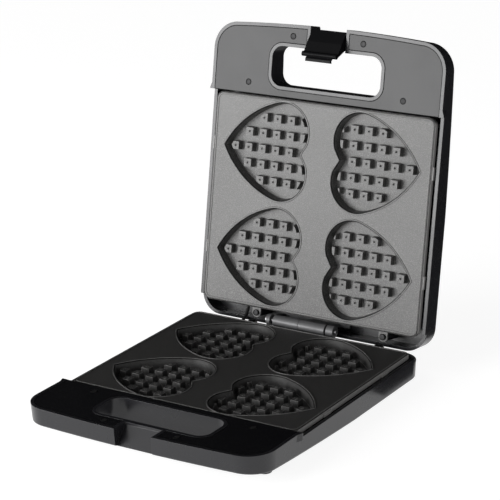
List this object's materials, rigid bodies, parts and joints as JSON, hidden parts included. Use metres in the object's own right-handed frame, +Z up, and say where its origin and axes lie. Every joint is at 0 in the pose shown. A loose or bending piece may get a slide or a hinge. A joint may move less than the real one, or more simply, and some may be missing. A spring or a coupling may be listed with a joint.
{
  "type": "heart waffle maker",
  "caption": "Hinged electric waffle maker standing open, with heart recesses and pillar grids in both plates, handle bars with hand holes, and a swinging latch",
  "frame": {"origin": "Centre of the open object's bounding box in plan, on the floor under the feet", "axes": "+X to the right along the hinge, +Y from the handle of the base back to the hinge, +Z up"},
  "size_m": [0.2524, 0.3534, 0.3072],
  "materials": {
    "black_shell": "gloss black moulding",
    "lid_shell": "gloss black moulding",
    "base_cover": "gloss black inlay",
    "lid_cover": "gloss black inlay",
    "screws": "zinc-plated steel screws",
    "plates": "cast aluminium with dark non-stick coat",
    "heaters": "steel tube, heat darkened",
    "shields": "bright sheet",
    "hinge": "satin grey",
    "pins": "drawn steel",
    "feet": "matt black rubber",
    "gland": "black nylon",
    "terminal_block": "white steatite",
    "controls": "metal can",
    "lenses": "tinted lamp lens",
    "latch": "satin black moulding"
  },
  "bodies": {
    "base": {"base_shell": "black_shell", "base_cover": "base_cover", "base_cover_screws": "screws", "lower_plate": "plates", "lower_plate_screws": "screws", "lower_element": "heaters", "lower_shield": "shields", "hinge_leaf_base": "hinge", "hinge_screws_base": "screws", "hinge_pin": "pins", "feet": "feet", "cord_gland": "gland", "terminal_block": "terminal_block", "thermostat": "controls", "thermal_fuse": "controls"},
    "lid": {"lid_shell": "lid_shell", "lid_cover": "lid_cover", "lid_cover_screws": "screws", "upper_plate": "plates", "upper_plate_screws": "screws", "upper_element": "heaters", "upper_shield": "shields", "hinge_leaf_lid": "hinge", "hinge_screws_lid": "screws", "indicator_lenses": "lenses", "latch_pin": "pins"},
    "latch": {"latch": "latch"}
  },
  "joints": [
    {"name": "lid_hinge", "type": "hinge", "parent": "base", "child": "lid", "pos_m": [0, 0.10615, 0.0295], "axis": [1, 0, 0], "range_deg": [0, 100.9]},
    {"name": "latch_swing", "type": "hinge", "parent": "lid", "child": "latch", "pos_m": [0, 0.16653, 0.29283], "axis": [-1, 0, 0], "range_deg": [0, 57]}
  ],
  "couplings": [
    {"joint": "latch_swing", "follows": "lid_hinge", "ratio": 0.56492}
  ]
}
